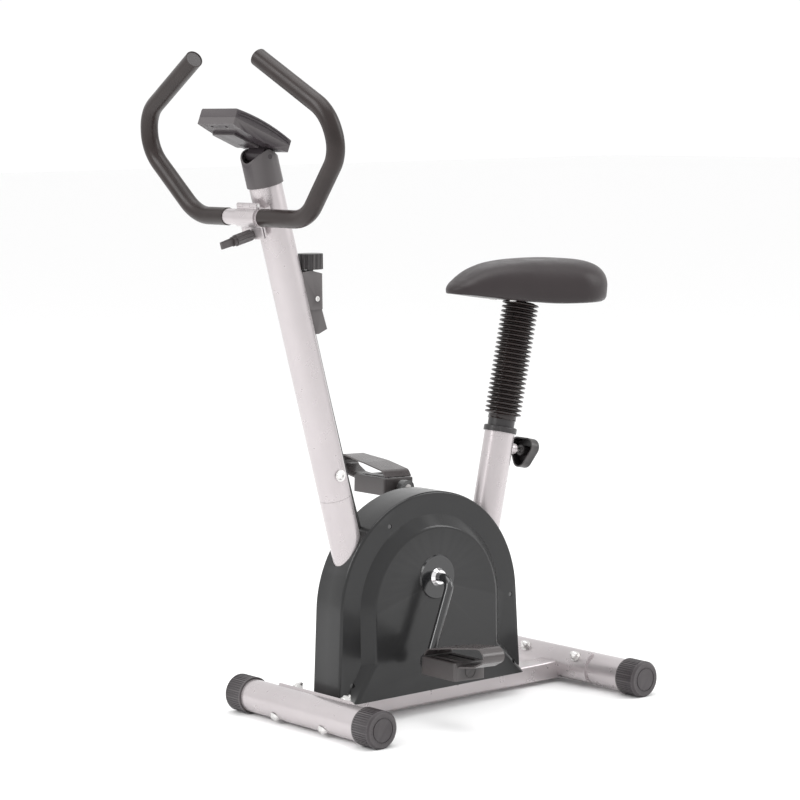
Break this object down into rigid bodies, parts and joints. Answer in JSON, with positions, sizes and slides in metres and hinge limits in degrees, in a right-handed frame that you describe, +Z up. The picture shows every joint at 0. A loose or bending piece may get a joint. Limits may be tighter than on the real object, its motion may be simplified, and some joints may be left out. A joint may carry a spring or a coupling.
{
  "type": "exercise bike",
  "caption": "Upright home exercise bike with a hooped handlebar, tilting console, sliding saddle, band-braked flywheel and strapped pedals.",
  "frame": {"origin": "on the floor, under the middle of the machine's bounding box", "axes": "+Z up, -Y the way the rider faces, +X the rider's left"},
  "size_m": [0.5016, 0.772, 1.0763],
  "materials": {
    "silver_paint": "satin silver powder coat",
    "black_cap": "fine-textured moulded black",
    "zinc": "bright zinc plate",
    "chrome": "polished chrome",
    "black_steel": "glossy black enamel",
    "bearing_steel": "ground steel",
    "iron": "machined cast iron",
    "shell": "semi-gloss dark grey",
    "disc_cover": "glossy black",
    "pulley_nylon": "black nylon",
    "belt_rubber": "ribbed black rubber",
    "felt": "grey felt",
    "cable_black": "black cable sheath",
    "pedal_plastic": "grained dark grey-brown",
    "strap_black": "soft glossy black",
    "grip_vinyl": "soft dark brown-black sleeve",
    "saddle_vinyl": "fine-grained dark vinyl",
    "bellows_black": "glossy black",
    "knob_black": "satin black",
    "control_grey": "grained grey-brown",
    "console_grey": "grained grey-brown",
    "lens": "clear window over a display",
    "button": "light grey"
  },
  "bodies": {
    "frame": {"base_rail": "silver_paint", "brake_band": "felt", "brake_cable": "cable_black", "brake_spring": "zinc", "clamp_base": "silver_paint", "clamp_cap": "silver_paint", "clamp_pins": "zinc", "console_cuff": "console_grey", "crank_covers": "disc_cover", "crank_cups": "bearing_steel", "crank_hanger": "silver_paint", "drive_belt": "belt_rubber", "flywheel_bearings": "bearing_steel", "flywheel_bracket": "silver_paint", "foot_bolts": "zinc", "foot_nuts": "zinc", "foot_plates": "silver_paint", "frame_screws": "zinc", "front_foot_tube": "silver_paint", "front_left_foot_cap": "black_cap", "front_right_foot_cap": "black_cap", "housing_screws": "black_steel", "left_housing": "shell", "lower_post": "silver_paint", "rear_foot_tube": "silver_paint", "rear_left_foot_cap": "black_cap", "rear_right_foot_cap": "black_cap", "right_housing": "shell", "seat_bellows": "bellows_black", "seat_collar": "knob_black", "seat_tube": "silver_paint", "tension_body": "control_grey", "upper_post": "silver_paint"},
    "crank": {"crank": "black_steel", "hub_nuts": "chrome", "drive_pulley": "pulley_nylon", "pedal_spindles": "bearing_steel"},
    "flywheel": {"flywheel": "iron", "pulley_shaft": "bearing_steel"},
    "left_pedal": {"left_pedal_body": "pedal_plastic", "left_pedal_strap": "strap_black"},
    "right_pedal": {"right_pedal_body": "pedal_plastic", "right_pedal_strap": "strap_black"},
    "seat": {"seat_post": "chrome", "saddle_pan": "knob_black", "saddle_cushion": "saddle_vinyl", "saddle_bolts": "zinc"},
    "seat_pin": {"seat_pin": "zinc"},
    "seat_knob": {"seat_knob": "knob_black"},
    "handlebar": {"handlebar_tube": "silver_paint", "left_grip": "grip_vinyl", "right_grip": "grip_vinyl", "bar_plugs": "knob_black"},
    "clamp_knob": {"clamp_knob": "control_grey"},
    "tension_knob": {"tension_knob": "knob_black"},
    "console": {"console_base": "console_grey", "console_top": "console_grey", "console_lens": "lens"},
    "mode_button": {"mode_button": "button"},
    "battery_door": {"battery_door": "console_grey"}
  },
  "joints": [
    {"name": "crank_spin", "type": "hinge", "parent": "frame", "child": "crank", "pos_m": [0, 0.0074, 0.225], "axis": [1, 0, 0], "continuous": true},
    {"name": "flywheel_spin", "type": "hinge", "parent": "frame", "child": "flywheel", "pos_m": [0, 0.0074, 0.112], "axis": [1, 0, 0], "continuous": true},
    {"name": "left_pedal_spin", "type": "hinge", "parent": "crank", "child": "left_pedal", "pos_m": [0.088, -0.04392, 0.09798], "axis": [1, 0, 0], "continuous": true},
    {"name": "right_pedal_spin", "type": "hinge", "parent": "crank", "child": "right_pedal", "pos_m": [-0.088, 0.05872, 0.35202], "axis": [1, 0, 0], "continuous": true},
    {"name": "seat_height", "type": "slide", "parent": "frame", "child": "seat", "axis": [0, 0.225, 0.9744], "range_m": [-0.075, 0.05], "deforming": ["seat_bellows"]},
    {"name": "seat_pin_pull", "type": "slide", "parent": "frame", "child": "seat_pin", "axis": [0, 0.9744, -0.225], "range_m": [0, 0.012], "stiffness_N_per_m": 500, "springref_m": -0.004},
    {"name": "seat_knob_turn", "type": "hinge", "parent": "seat_pin", "child": "seat_knob", "pos_m": [0, 0.18733, 0.41898], "axis": [0, 0.9744, -0.225], "continuous": true},
    {"name": "handlebar_tilt", "type": "hinge", "parent": "frame", "child": "handlebar", "pos_m": [0, -0.3215, 0.8207], "axis": [1, 0, 0], "range_deg": [-20, 30]},
    {"name": "clamp_knob_turn", "type": "hinge", "parent": "frame", "child": "clamp_knob", "pos_m": [0, -0.31499, 0.79553], "axis": [0, -0.9681, -0.2504], "range_deg": [0, 360]},
    {"name": "tension_knob_turn", "type": "hinge", "parent": "frame", "child": "tension_knob", "pos_m": [0, -0.2069, 0.735], "axis": [0, 0, 1], "range_deg": [0, 300]},
    {"name": "console_tilt", "type": "hinge", "parent": "frame", "child": "console", "pos_m": [0, -0.30396, 0.91393], "axis": [1, 0, 0], "range_deg": [0, 25]},
    {"name": "mode_button_press", "type": "slide", "parent": "console", "child": "mode_button", "axis": [0, -0.4003, -0.9164], "range_m": [0, 0.0015], "stiffness_N_per_m": 400, "springref_m": -0.001},
    {"name": "battery_door_slide", "type": "slide", "parent": "console", "child": "battery_door", "axis": [0, -0.9164, 0.4003], "range_m": [0, 0.02]}
  ],
  "couplings": [
    {"joint": "flywheel_spin", "follows": "crank_spin", "ratio": 3.8889}
  ]
}
